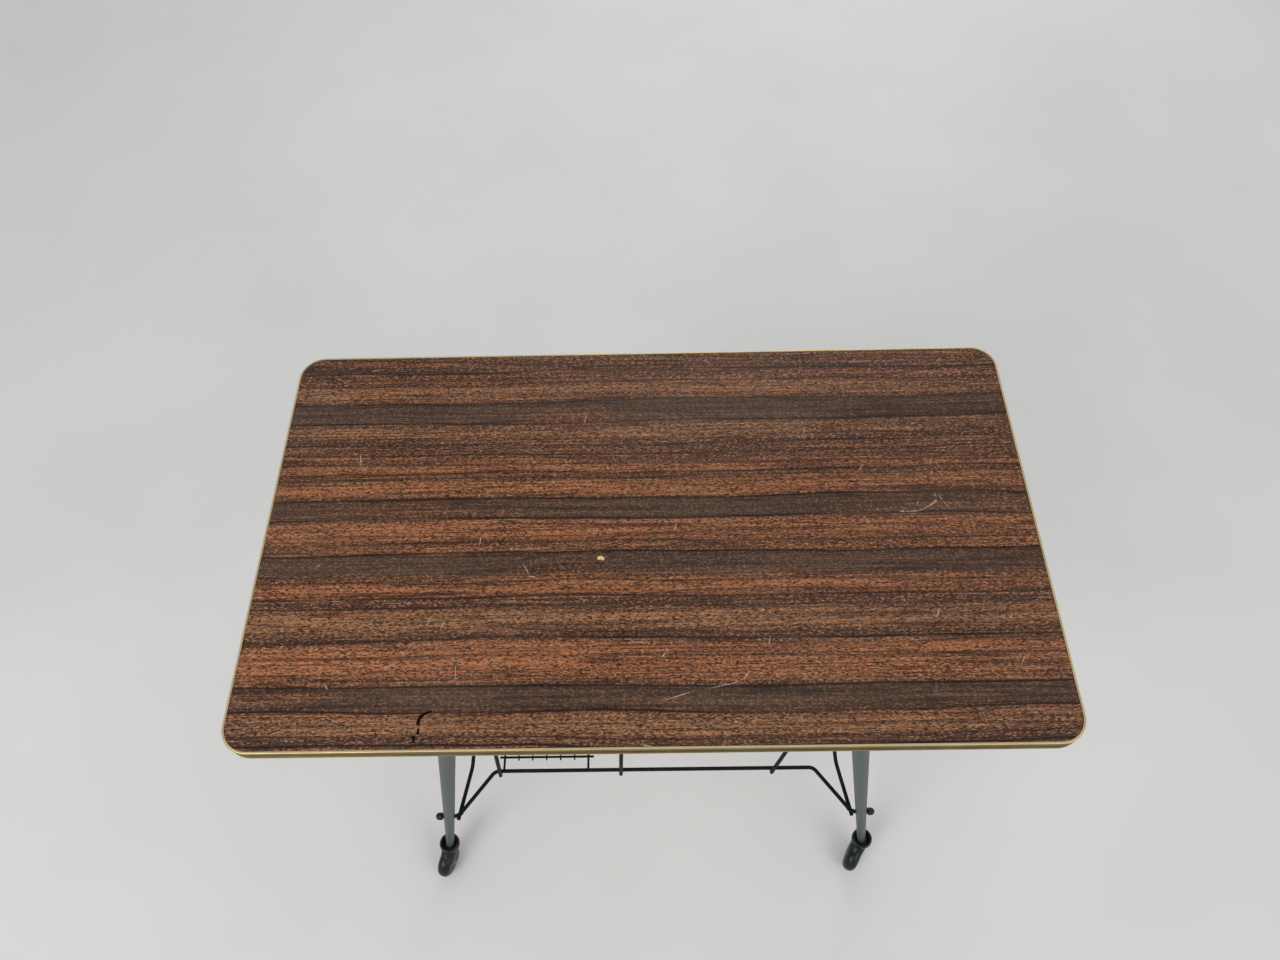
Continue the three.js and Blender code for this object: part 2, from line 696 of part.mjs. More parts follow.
// The floor of the left bay: two cross wires under a row of wires, whose outer two are
// thicker and lie on the cross rails
function addGrid() {
  const gridRightX = gridLeftX + GRID_PITCH * (GRID_WIRE_COUNT - 1);
  for (const [name, sy] of [['grid_cross_front', -1], ['grid_cross_back', 1]]) {
    const start = vector3(gridLeftX - GRID_CROSS_OVERHANG, sy * gridCrossY, gridCrossZ);
    const end = vector3(gridRightX + GRID_CROSS_OVERHANG, sy * gridCrossY, gridCrossZ);
    addMesh(table, name, straightRod(start, end, GRID_FRAME_DIAMETER, WIRE_SIDES), 'wire');
  }
  for (let i = 0; i < GRID_WIRE_COUNT; i += 1) {
    const outer = i === 0 || i === GRID_WIRE_COUNT - 1;
    const reach = outer ? railY + rodRadius : gridCrossY + GRID_WIRE_OVERHANG;
    const diameter = outer ? GRID_FRAME_DIAMETER : GRID_WIRE_DIAMETER;
    const z = outer ? gridFrameZ : gridWireZ;
    const x = gridLeftX + GRID_PITCH * i;
    const wire = straightRod(vector3(x, -reach, z), vector3(x, reach, z), diameter, WIRE_SIDES);
    addMesh(table, `grid_wire_${i + 1}`, wire, 'wire');
  }
}

function addRack() {
  addCrossRail('front_rail', -1);
  addCrossRail('back_rail', 1);
  addSideRail('left_rail', -1);
  addSideRail('right_rail', 1);
  addDivider('divider_left', leftDividerX, LEFT_DIVIDER_LEAN);
  addDivider('divider_middle', middleDividerX, MIDDLE_DIVIDER_LEAN);
  addDivider('divider_right', rightDividerX, RIGHT_DIVIDER_LEAN);
  addGrid();
}

addTop();
addCorners();
addRack();

export default table;
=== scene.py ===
from math import cos, pi, radians, sin, sqrt, tan

import bmesh
import bpy
from mathutils import Matrix, Vector


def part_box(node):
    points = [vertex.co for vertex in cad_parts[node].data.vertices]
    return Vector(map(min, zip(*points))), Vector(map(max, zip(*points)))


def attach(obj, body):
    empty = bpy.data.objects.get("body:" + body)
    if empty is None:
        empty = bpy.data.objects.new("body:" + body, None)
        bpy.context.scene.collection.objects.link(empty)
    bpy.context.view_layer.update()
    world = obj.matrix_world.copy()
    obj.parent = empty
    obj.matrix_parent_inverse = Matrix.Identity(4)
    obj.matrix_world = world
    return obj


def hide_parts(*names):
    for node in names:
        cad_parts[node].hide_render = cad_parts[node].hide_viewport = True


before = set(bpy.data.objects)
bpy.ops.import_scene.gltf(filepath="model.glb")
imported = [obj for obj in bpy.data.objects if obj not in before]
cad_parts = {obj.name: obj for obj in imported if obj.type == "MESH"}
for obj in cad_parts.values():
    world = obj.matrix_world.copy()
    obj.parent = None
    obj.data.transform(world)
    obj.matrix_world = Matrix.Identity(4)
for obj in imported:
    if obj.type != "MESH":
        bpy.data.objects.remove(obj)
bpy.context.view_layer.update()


# Top board: a panel of pressed wood chips, 13 mm thick, sawn to a rounded oblong. Only its
# bare underside shows; a groove round its edge takes the tongue of the edge strip.

def paint(red, green, blue):
    """A colour as it looks on a screen, in the shader's own scale."""
    levels = [level / 255 for level in (red, green, blue)]
    return [((level + 0.055) / 1.055) ** 2.4 for level in levels] + [1.0]


def new_finish(name, **values):
    """A material and its one shader, with the values that hold all over the piece."""
    material = bpy.data.materials.new(name)
    material.use_nodes = True
    shader = material.node_tree.nodes["Principled BSDF"]
    for socket, value in values.items():
        shader.inputs[socket.replace("_", " ")].default_value = value
    return material, shader


def add(material, kind, inputs, **settings):
    """One node, with its settings, and its inputs as values or as other nodes' outputs."""
    tree = material.node_tree
    made = tree.nodes.new("ShaderNode" + kind)
    for name, value in settings.items():
        setattr(made, name, value)
    for key, value in inputs.items():
        if isinstance(value, bpy.types.NodeSocket):
            tree.links.new(value, made.inputs[key])
        else:
            made.inputs[key].default_value = value
    return made


def calc(material, operation, *values):
    return add(material, "Math", dict(enumerate(values)), operation=operation).outputs[0]


def between(material, value, low, high):
    """How far a value has come from low to high, held to 0 and 1."""
    reach = {"Value": value, "From Min": low, "From Max": high}
    return add(material, "MapRange", reach).outputs[0]


def blend(material, share, first, second):
    return add(material, "Mix", {0: share, 6: first, 7: second}, data_type="RGBA").outputs[2]


def spread(material, *steps):
    """Places on the piece, counted in steps of so many millimetres along X, Y and Z."""
    places = add(material, "TexCoord", {}).outputs["Object"]
    scale = [1000 / step for step in steps]
    return add(material, "Mapping", {"Vector": places, "Scale": scale}).outputs[0]


def mottle(material, steps, detail=2.0):
    """Soft random patches of about the given sizes in millimetres."""
    noise = {"Vector": spread(material, *steps), "Scale": 1.0, "Detail": detail}
    return add(material, "TexNoise", noise).outputs[0]


def relief(material, shader, height, depth):
    bump = {"Height": height, "Strength": 1.0, "Distance": depth}
    normal = add(material, "Bump", bump).outputs[0]
    material.node_tree.links.new(normal, shader.inputs["Normal"])


def feed(material, shader, socket, value):
    material.node_tree.links.new(value, shader.inputs[socket])


def dress(material, *nodes):
    """Gives CAD pieces that keep their shape a finish."""
    for node in nodes:
        for material_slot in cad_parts[node].material_slots:
            material_slot.material = material


chipboard, shader = new_finish("chipboard", Roughness=0.85)
chips = {"Vector": spread(chipboard, 7, 4, 4), "Scale": 1.0, "Randomness": 1.0}
chip_tone = add(chipboard, "TexVoronoi", chips).outputs["Color"]
chip_tone = add(chipboard, "SeparateColor", {0: chip_tone}).outputs[0]
board_colour = blend(chipboard, chip_tone, paint(146, 112, 72), paint(196, 163, 116))
board_stain = between(chipboard, mottle(chipboard, (90, 60, 60), 4), 0.45, 0.75)
board_stain = calc(chipboard, "MULTIPLY", board_stain, 0.5)
board_colour = blend(chipboard, board_stain, board_colour, paint(120, 92, 62))
feed(chipboard, shader, "Base Color", board_colour)
relief(chipboard, shader, chip_tone, 0.0002)
dress(chipboard, "top_board")


# Laminate: a sheet 1 mm thick with a printed and pressed walnut grain, glued on the board.
# Grey, brown and copper bands run the length of the top, with dark growth lines, short
# pores, a chip, a crack at the front and many fine scratches.

def new_object(name, bm):
    mesh = bpy.data.meshes.new(name)
    bm.to_mesh(mesh)
    bm.free()
    made = bpy.data.objects.new(name, mesh)
    bpy.context.scene.collection.objects.link(made)
    return made


def finish_piece(name, bm, material, body, slot, *nodes):
    """Makes a piece of the shape, in place of its CAD nodes, riding on a body."""
    for face in bm.faces:
        face.smooth = True
    piece = new_object(name, bm)
    crease = radians(35)
    piece.data.set_sharp_from_angle(angle=crease)
    piece.data.materials.append(material)
    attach(piece, body)
    if nodes:
        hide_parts(*nodes)


def slab(bm, low, high, corner_radius, edge_radius, corner_steps=14):
    """A flat block with round corners in plan and softened edges."""
    size = Vector(high) - Vector(low)
    middle = (Vector(high) + Vector(low)) / 2
    place = Matrix.Translation(middle) @ Matrix.Diagonal(size).to_4x4()
    made = bmesh.ops.create_cube(bm, size=1.0, matrix=place)["verts"]
    edges = {edge for vert in made for edge in vert.link_edges}
    upright = [edge for edge in edges if abs(edge.verts[0].co.z - edge.verts[1].co.z) > 1e-6]
    bmesh.ops.bevel(bm, geom=upright, offset=corner_radius, affect="EDGES",
                    segments=corner_steps, profile=0.5, material=-1)
    flat = [face for face in bm.faces if abs(face.normal.z) > 0.99]
    rims = list({edge for face in flat for edge in face.edges})
    bmesh.ops.bevel(bm, geom=rims, offset=edge_radius, affect="EDGES",
                    segments=2, profile=0.5, material=-1)


sheet_low, sheet_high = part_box("top_laminate")
sheet_corner, sheet_edge = 0.0217, 0.0002
sheet = bmesh.new()
slab(sheet, sheet_low, sheet_high, sheet_corner, sheet_edge)

walnut, shader = new_finish("walnut_laminate", Specular_IOR_Level=0.14)
grain_x, grain_y = add(walnut, "SeparateXYZ", {0: spread(walnut, 1, 1, 1)}).outputs[:2]

sway = calc(walnut, "MULTIPLY_ADD", mottle(walnut, (210, 60, 1000), 1), 12.0, -6.0)
ripple = calc(walnut, "MULTIPLY_ADD", mottle(walnut, (60, 14, 1000), 1), 3.0, -1.5)
grain_row = calc(walnut, "ADD", grain_y, calc(walnut, "ADD", sway, ripple))


def bands(rows, soft):
    """A mask over rows of the grain, each from a front line to a back line."""
    mask = 0.0
    for front, back in rows:
        rise = between(walnut, grain_row, front - soft, front + soft)
        fall = between(walnut, grain_row, back + soft, back - soft)
        mask = calc(walnut, "MAXIMUM", mask, calc(walnut, "MULTIPLY", rise, fall))
    return mask


# Where each band starts and ends, in millimetres behind the middle of the top.
ash_rows = [(-166, -146), (-46, -26), (9, 31), (117, 142)]
dim_rows = [(-108, -98), (86, 99), (177, 189), (-76, -66), (-200, -189)]
copper_rows = [(-137, -110), (-66, -52), (-12, 8), (36, 50), (62, 69)]
straw_rows = [(-97, -77), (-188, -174), (101, 113), (149, 161)]

wood = blend(walnut, mottle(walnut, (160, 20, 1000), 3), paint(74, 43, 28), paint(122, 77, 51))
wood = blend(walnut, bands(copper_rows, 4), wood, paint(148, 91, 58))
wood = blend(walnut, bands(straw_rows, 5), wood, paint(132, 93, 65))
wood = blend(walnut, bands(dim_rows, 4), wood, paint(76, 51, 40))
ash_patches = between(walnut, mottle(walnut, (260, 40, 1000), 1), 0.3, 0.46)
ash = calc(walnut, "MULTIPLY", bands(ash_rows, 3), ash_patches)
wood = blend(walnut, ash, wood, paint(73, 58, 49))
# The colour darkens towards the right end of the top, more so further back, and along the back
# edge.
far_side = between(walnut, grain_y, -120, 190)
right_end = calc(walnut, "MULTIPLY", between(walnut, grain_x, 40, 340),
                 calc(walnut, "MULTIPLY_ADD", far_side, 0.3, 0.25))
back_edge = calc(walnut, "MULTIPLY", between(walnut, grain_y, 145, 200), 0.35)
wood = blend(walnut, calc(walnut, "MAXIMUM", right_end, back_edge), wood, paint(60, 37, 27))
warm = calc(walnut, "MULTIPLY_ADD", ash, -0.75, 1.0)

streak = mottle(walnut, (120, 1.8, 1000), 3)
dark_streak = calc(walnut, "MULTIPLY", between(walnut, streak, 0.5, 0.6), 0.6)
wood = blend(walnut, dark_streak, wood, paint(58, 36, 28))
pale_streak = calc(walnut, "MULTIPLY", between(walnut, streak, 0.46, 0.34), warm)
wood = blend(walnut, calc(walnut, "MULTIPLY", pale_streak, 0.55), wood, paint(164, 110, 75))
flecks = between(walnut, mottle(walnut, (2.6, 1.2, 900), 1), 0.52, 0.66)
flecks = calc(walnut, "MULTIPLY", flecks, calc(walnut, "MULTIPLY_ADD", warm, 0.4, 0.15))
wood = blend(walnut, flecks, wood, paint(196, 142, 103))
pores = between(walnut, mottle(walnut, (3.2, 1.0, 1000), 1), 0.51, 0.62)
depth_of_pores = calc(walnut, "MULTIPLY_ADD", ash, -0.4, 0.9)
wood = blend(walnut, calc(walnut, "MULTIPLY", pores, depth_of_pores), wood, paint(32, 18, 11))
contour = calc(walnut, "SUBTRACT", mottle(walnut, (300, 9, 1000), 1), 0.5)
contour = calc(walnut, "ABSOLUTE", contour)
contour = calc(walnut, "MULTIPLY", between(walnut, contour, 0.03, 0.004), 0.6)
wood = blend(walnut, contour, wood, paint(38, 24, 20))
veins = calc(walnut, "SUBTRACT", mottle(walnut, (220, 5, 700), 1), 0.47)
veins = calc(walnut, "ABSOLUTE", veins)
veins = calc(walnut, "MULTIPLY", between(walnut, veins, 0.03, 0.004), 0.45)
wood = blend(walnut, veins, wood, paint(44, 27, 22))

# Each line's place, its strength, and how far it shades off towards the back or the front.
growth_lines = [
    (-196, 1.0, 4), (-189, 0.6, 2), (-179, 0.4, -3), (-168, 0.9, 4), (-147, 1.0, -7),
    (-122, 0.5, 2), (-106, 0.9, 4), (-75, 0.6, -3), (-66, 0.8, 3), (-61, 0.4, 2),
    (-52, 0.6, -2), (-25, 1.0, -6), (-14, 0.6, 2), (-8, 0.3, 2), (10, 0.9, 3),
    (20, 0.4, -2), (31, 1.0, -6), (54, 0.5, 2), (60, 0.8, -3), (70, 0.5, 2),
    (81, 0.7, 3), (92, 0.6, -3), (117, 0.9, 3), (129, 0.4, 2), (141, 0.8, -5),
    (164, 0.5, -3), (179, 0.8, 4),
]
lines = 0.0
for row, strength, fade in growth_lines:
    away = calc(walnut, "SUBTRACT", grain_row, row)
    core = between(walnut, calc(walnut, "ABSOLUTE", away), 1.5, 0.5)
    near = between(walnut, away, -0.6 if fade > 0 else 0.6, 0.0)
    shade = calc(walnut, "MULTIPLY", near, between(walnut, away, fade * 1.5, 0.0))
    mark = calc(walnut, "MAXIMUM", core, calc(walnut, "MULTIPLY", shade, 0.4))
    lines = calc(walnut, "MAXIMUM", lines, calc(walnut, "MULTIPLY", mark, strength))
presence = between(walnut, mottle(walnut, (120, 8, 1000), 2), 0.32, 0.56)
lines = calc(walnut, "MULTIPLY", lines, calc(walnut, "MULTIPLY_ADD", presence, 0.45, 0.6))
wood = blend(walnut, lines, wood, paint(24, 15, 12))
threads = between(walnut, mottle(walnut, (1.1, 17, 1000), 1), 0.52, 0.8)
wood = blend(walnut, calc(walnut, "MULTIPLY", threads, 0.16), wood, paint(130, 102, 86))
# Pale, greyer patches over the top: partly wear and partly a painted sheen.
wear_and_sheen_haze = between(walnut, mottle(walnut, (120, 90, 1000), 3), 0.45, 0.75)
wood = blend(walnut, calc(walnut, "MULTIPLY", wear_and_sheen_haze, 0.1), wood, paint(118, 96, 83))


def marks(places):
    """Narrow spots, for wear marks and for the crack's painted shade: middle X, Y, half length,
    half width in mm, and turn in degrees.
    """
    top_height = 650
    mask = 0.0
    for x, y, reach, width, twist in places:
        spot = add(walnut, "Mapping", {
            "Vector": spread(walnut, 1, 1, 1),
            "Location": (x, y, top_height),
            "Rotation": (0, 0, radians(twist)),
            "Scale": (reach, width, 1000),
        }, vector_type="TEXTURE").outputs[0]
        spot = add(walnut, "TexGradient", {0: spot}, gradient_type="SPHERICAL").outputs[1]
        mask = calc(walnut, "MAXIMUM", mask, spot)
    return mask


scratches = marks([
    (-273, 76, 12, 0.7, 100), (-270, 66, 3, 0.6, 10), (-109, -40, 9, 0.6, -58),
    (-103, -48, 5, 0.9, 0), (-295, -34, 4, 0.6, 45), (-152, -12, 9, 0.5, 85),
    (247, -87, 6, 0.9, 70), (11, -122, 5, 0.8, 60), (14, -117, 3, 0.7, 110),
    (101, -110, 6, 0.6, 75), (80, -140, 8, 0.6, 55), (62, -148, 20, 0.5, 12),
    (22, -157, 22, 0.5, 17), (-4, -197, 8, 0.7, -8), (-163, -135, 11, 0.5, 92),
    (-270, -145, 5, 0.8, -60), (-220, -129, 6, 0.7, 40), (263, 22, 3, 1.7, 40),
    (259, 19, 6, 0.9, 35), (268, 26, 5, 0.5, -60), (264, 28, 4, 0.5, 100),
    (254, 16, 5, 0.7, 25), (240, 12, 11, 0.8, 2), (231, 12, 4, 1.2, 0),
    (248, 13, 6, 0.6, 14), (272, 18, 7, 0.4, -65), (246, 20, 5, 0.4, 60),
    (272, 60, 9, 0.4, -62), (266, 66, 8, 0.4, 70), (256, 108, 5, 0.7, 20),
    (250, 104, 4, 0.6, -40), (25, 2, 9, 0.5, 80),
    (150, 100, 10, 0.4, 70), (-60, 120, 12, 0.4, 80), (-190, -88, 10, 0.4, 65),
    (-178, -92, 9, 0.4, 72), (310, -130, 8, 0.4, 60), (200, 60, 9, 0.4, 50),
])
fray = calc(walnut, "MULTIPLY", scratches, mottle(walnut, (2, 2, 1000), 2))
scratches = between(walnut, fray, 0.08, 0.4)
wood = blend(walnut, calc(walnut, "MULTIPLY", scratches, 0.75), wood, paint(205, 176, 152))

chip = marks([(-43.6, -30.4, 4.2, 3.2, 20), (-41, -31.4, 2.8, 2.2, -30)])
chip_fray = calc(walnut, "MULTIPLY_ADD", mottle(walnut, (2, 2, 9)), 1.2, -0.6)
chip = between(walnut, calc(walnut, "ADD", chip, chip_fray), 0.42, 0.5)
bare_core = blend(walnut, pores, paint(238, 205, 150), paint(196, 140, 84))
wood = blend(walnut, chip, wood, bare_core)

# The crack is painted near black: painted shade down in its slit, which the bump dents only
# shallowly.
crack = marks([
    (-183, -168.4, 6.5, 1.9, 20), (-187.6, -171.6, 5.2, 2.9, 55),
    (-189.3, -175.6, 5.0, 2.9, 85), (-188.6, -183.2, 5.0, 1.5, 95),
    (-191.8, -188.4, 2.8, 2.5, 60), (-191.4, -190.6, 2.8, 1.7, 90),
])
crack_fray = calc(walnut, "MULTIPLY_ADD", mottle(walnut, (2, 2, 9)), 0.8, -0.4)
crack = between(walnut, calc(walnut, "ADD", crack, crack_fray), 0.34, 0.42)
wood = blend(walnut, crack, wood, paint(10, 7, 6))

feed(walnut, shader, "Base Color", wood)
shine = calc(walnut, "MULTIPLY_ADD", mottle(walnut, (60, 60, 1000), 4), 0.22, 0.36)
shine = calc(walnut, "ADD", shine, calc(walnut, "MULTIPLY_ADD", scratches, 0.2, crack))
feed(walnut, shader, "Roughness", shine)
surface = calc(walnut, "MULTIPLY_ADD", pores, -0.12, calc(walnut, "MULTIPLY", lines, -0.1))
surface = calc(walnut, "SUBTRACT", surface, calc(walnut, "ADD", crack, chip))
relief(walnut, shader, surface, 0.0004)
finish_piece("laminate_sheet", sheet, walnut, "table", "laminate", "top_laminate")


# Edge strip: one length of brass-coloured metal with a bead along both edges and a tongue
# behind, bent round the corners and knocked into the board's groove. Its ends meet in the
# middle of the right side.

def run(way):
    return {"cent": (0, 0, 0), "axis": (0, 0, 1), "dvec": way, "angle": 0.0, "steps": 1}


def bend(centre, axis, angle):
    facet = radians(7)
    steps = max(3, round(angle / facet))
    return {"cent": centre, "axis": axis, "angle": angle, "steps": steps}


def draw_along(bm, section, moves):
    """Carries a loop of edges along runs and bends, and closes both ends with a face."""
    edges = section
    for move in moves:
        verts = list({vert for edge in edges for vert in edge.verts})
        drawn = bmesh.ops.spin(bm, geom=verts + edges, **move)["geom_last"]
        edges = [part for part in drawn if isinstance(part, bmesh.types.BMEdge)]
    ends = bmesh.ops.edgeloop_fill(bm, edges=section)["faces"]
    ends += bmesh.ops.edgeloop_fill(bm, edges=edges)["faces"]
    bmesh.ops.recalc_face_normals(bm, faces=bm.faces)
    return ends


strip_low, strip_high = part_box("edge_trim")
outer_x, outer_y = strip_high[0], strip_high[1]
strip_bottom, strip_top = strip_low[2], strip_high[2]
strip_corner, strip_wall, seam_gap = 0.024, 0.002, 0.0003
bead_height, bead_depth, bead_round = 0.0036, 0.0009, 0.00085
tongue_reach, tongue_half, board_half = 0.007, 0.001, 0.0065
tongue_tip = strip_wall + tongue_reach
tongue_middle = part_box("top_board")[0][2] + board_half

strip = bmesh.new()
section_points = [
    (0, strip_bottom), (0, strip_bottom + bead_height),
    (bead_depth, strip_bottom + bead_height), (bead_depth, strip_top - bead_height),
    (0, strip_top - bead_height), (0, strip_top), (strip_wall, strip_top),
    (strip_wall, tongue_middle + tongue_half), (tongue_tip, tongue_middle + tongue_half),
    (tongue_tip, tongue_middle - tongue_half), (strip_wall, tongue_middle - tongue_half),
    (strip_wall, strip_bottom),
]
section_verts = [strip.verts.new((outer_x - inset, seam_gap / 2, z))
                 for inset, z in section_points]
strip.faces.new(section_verts)
bead_corners = [section_verts[index] for index in (0, 1, 4, 5)]
bmesh.ops.bevel(strip, geom=bead_corners, offset=bead_round, affect="VERTICES",
                segments=4, profile=0.5, material=-1)
bmesh.ops.delete(strip, geom=list(strip.faces), context="FACES_ONLY")
side_x, side_y = outer_x - strip_corner, outer_y - strip_corner
upward = (0, 0, 1)
draw_along(strip, list(strip.edges), [
    run((0, side_y - seam_gap / 2, 0)), bend((side_x, side_y, 0), upward, pi / 2),
    run((-2 * side_x, 0, 0)), bend((-side_x, side_y, 0), upward, pi / 2),
    run((0, -2 * side_y, 0)), bend((-side_x, -side_y, 0), upward, pi / 2),
    run((2 * side_x, 0, 0)), bend((side_x, -side_y, 0), upward, pi / 2),
    run((0, side_y - seam_gap / 2, 0)),
])

brass, shader = new_finish("brass_strip", Metallic=0.8)
tarnish = mottle(brass, (28, 28, 9), 5)
drag_marks = mottle(brass, (30, 30, 0.35), 2)
strip_colour = blend(brass, tarnish, paint(136, 115, 64), paint(88, 73, 38))
strip_z = add(brass, "SeparateXYZ", {0: spread(brass, 1, 1, 1)}).outputs[2]
low_mm, high_mm = strip_bottom * 1000, strip_top * 1000
groove_low = between(brass, strip_z, low_mm + 3.3, low_mm + 4.4)
groove_high = between(brass, strip_z, high_mm - 3.3, high_mm - 4.4)
# The recessed web between the beads is painted darker, patchy with the tarnish: painted shade.
web_shade = calc(brass, "MULTIPLY", groove_low, groove_high)
web_shade = calc(brass, "MULTIPLY", web_shade, calc(brass, "MULTIPLY_ADD", tarnish, 0.7, 0.25))
strip_colour = blend(brass, web_shade, strip_colour, paint(84, 70, 38))
# Pale lines along the top edge and the lower bead are painted highlights, dimmed where the
# tarnish is heavy.
top_edge_highlight = between(brass, strip_z, high_mm - 0.6, high_mm - 0.1)
low_bead_highlight = between(brass, strip_z, low_mm + 2.4, low_mm + 1.2)
bead_highlights = calc(brass, "MAXIMUM", top_edge_highlight, calc(brass, "MULTIPLY", low_bead_highlight, 0.6))
bead_highlights = calc(brass, "MULTIPLY", bead_highlights, calc(brass, "MULTIPLY_ADD", tarnish, -0.5, 1.1))
strip_colour = blend(brass, bead_highlights, strip_colour, paint(208, 188, 140))
feed(brass, shader, "Base Color", strip_colour)
strip_shine = calc(brass, "MULTIPLY_ADD", tarnish, 0.3, 0.2)
feed(brass, shader, "Roughness", calc(brass, "MULTIPLY_ADD", drag_marks, 0.12, strip_shine))
finish_piece("edge_strip", strip, brass, "table", "edge_strip", "edge_trim")


# Leg plates: square steel plates 3 mm thick with round corners, each held to the board by
# four slotted wood screws, zinc plated.

# For each corner: the sign of X, the sign of Y, and the way its caster trails in degrees.
corners = {
    "front_left": (-1, -1, -108), "front_right": (1, -1, -118),
    "back_left": (-1, 1, 118), "back_right": (1, 1, 108),
}
zinc, shader = new_finish("zinc_steel", Metallic=0.9)
spangle = mottle(zinc, (9, 9, 9), 4)
zinc_colour = blend(zinc, spangle, paint(120, 121, 120), paint(184, 185, 183))
feed(zinc, shader, "Base Color", zinc_colour)
feed(zinc, shader, "Roughness", calc(zinc, "MULTIPLY_ADD", spangle, 0.3, 0.25))
relief(zinc, shader, mottle(zinc, (0.8, 0.8, 0.8), 2), 0.00004)


def turn(bm, outline, steps=48):
    """Spins an outline of radii and heights about +Z into one closed, smooth body."""
    verts = [bm.verts.new((radius, 0, z)) for radius, z in outline]
    edges = [bm.edges.new(pair) for pair in zip(verts, verts[1:])]
    bmesh.ops.spin(bm, geom=verts + edges, cent=(0, 0, 0), axis=(0, 0, 1),
                   angle=2 * pi, steps=steps, use_merge=True)
    bmesh.ops.remove_doubles(bm, verts=bm.verts, dist=1e-6)
    bmesh.ops.recalc_face_normals(bm, faces=bm.faces)


def merge(bm, part):
    """Adds a finished part to a shape, and frees it."""
    mesh = bpy.data.meshes.new("part")
    part.to_mesh(mesh)
    part.free()
    bm.from_mesh(mesh)
    bpy.data.meshes.remove(mesh)


plate_half, plate_corner, plate_edge = 0.038, 0.009, 0.0006
screw_inset, slot_half, slot_floor = 0.010, 0.0005, -0.0004
screw_place = plate_half - screw_inset
slot_planes = [((-slot_half, 0, 0), (1, 0, 0)), ((slot_half, 0, 0), (1, 0, 0)),
               ((0, 0, slot_floor), (0, 0, 1))]
screw_outline = [(0, 0), (0.0045, 0), (0.0045, -0.0005), (0.0042, -0.0011), (0.0034, -0.0017),
                 (0.0020, -0.0021), (0, -0.0022)]
for corner, (side, end, heading) in corners.items():
    plate_low, plate_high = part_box("leg_plate_" + corner)
    plate = bmesh.new()
    slab(plate, plate_low, plate_high, plate_corner, plate_edge, corner_steps=8)
    finish_piece("leg_plate_pressed_" + corner, plate, zinc, "table", "steel",
                 "leg_plate_" + corner)

    screws = bmesh.new()
    for across in (-1, 1):
        for along in (-1, 1):
            head = bmesh.new()
            turn(head, screw_outline, steps=28)
            for point, normal in slot_planes:
                bmesh.ops.bisect_plane(head, geom=head.verts[:] + head.edges[:] + head.faces[:],
                                       plane_co=point, plane_no=normal)
            middles = [(face, face.calc_center_median()) for face in head.faces]
            slot_faces = [face for face, middle in middles
                          if middle.z < slot_floor and abs(middle.x) < slot_half]
            groove = bmesh.ops.extrude_face_region(head, geom=slot_faces)["geom"]
            floor_verts = [part for part in groove if isinstance(part, bmesh.types.BMVert)]
            for vert in floor_verts:
                vert.co.z = slot_floor
            bmesh.ops.delete(head, geom=slot_faces, context="FACES")
            bmesh.ops.remove_doubles(head, verts=head.verts, dist=1e-6)
            bmesh.ops.recalc_face_normals(head, faces=head.faces)
            place = Vector((
                (plate_low[0] + plate_high[0]) / 2 + across * screw_place,
                (plate_low[1] + plate_high[1]) / 2 + along * screw_place,
                plate_low[2],
            ))
            slot_heading = radians(40 + 70 * across + 35 * along * end)
            twist = Matrix.Rotation(slot_heading, 4, "Z")
            bmesh.ops.transform(head, verts=head.verts, matrix=Matrix.Translation(place) @ twist)
            merge(screws, head)
    finish_piece("plate_screws_" + corner, screws, zinc, "table", "steel")


# Legs: tapered steel tubes, 29 mm at the plate and 11 mm at the foot, welded to the plates
# at a slant and sprayed with slate-grey enamel.

leg_end, leg_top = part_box("leg_front_left")[0][2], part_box("leg_front_left")[1][2]
foot_x, foot_y, top_x, top_y = 0.2825, 0.1695, 0.185, 0.073
leg_rise = leg_top - leg_end
slope_x = (foot_x - top_x) / leg_rise
slope_y = (foot_y - top_y) / leg_rise
leg_stretch = sqrt(1 + slope_x ** 2 + slope_y ** 2)
leg_wall, leg_foot_radius, leg_top_radius = 0.0012, 0.0055, 0.0145
weld_radius, weld_offset, weld_gap = 0.0016, 0.0006, 0.0001

enamel, shader = new_finish("slate_enamel", Specular_IOR_Level=0.2)
cloud = mottle(enamel, (14, 14, 60), 4)
enamel_colour = blend(enamel, cloud, paint(64, 71, 73), paint(88, 95, 96))
rubs = between(enamel, mottle(enamel, (2.2, 2.2, 16), 3), 0.66, 0.74)
rubs = calc(enamel, "MULTIPLY", rubs, 0.5)
enamel_colour = blend(enamel, rubs, enamel_colour, paint(46, 51, 54))
feed(enamel, shader, "Base Color", enamel_colour)
feed(enamel, shader, "Roughness", calc(enamel, "MULTIPLY_ADD", cloud, 0.2, 0.3))
relief(enamel, shader, mottle(enamel, (1.6, 1.6, 1.6), 2), 0.00005)

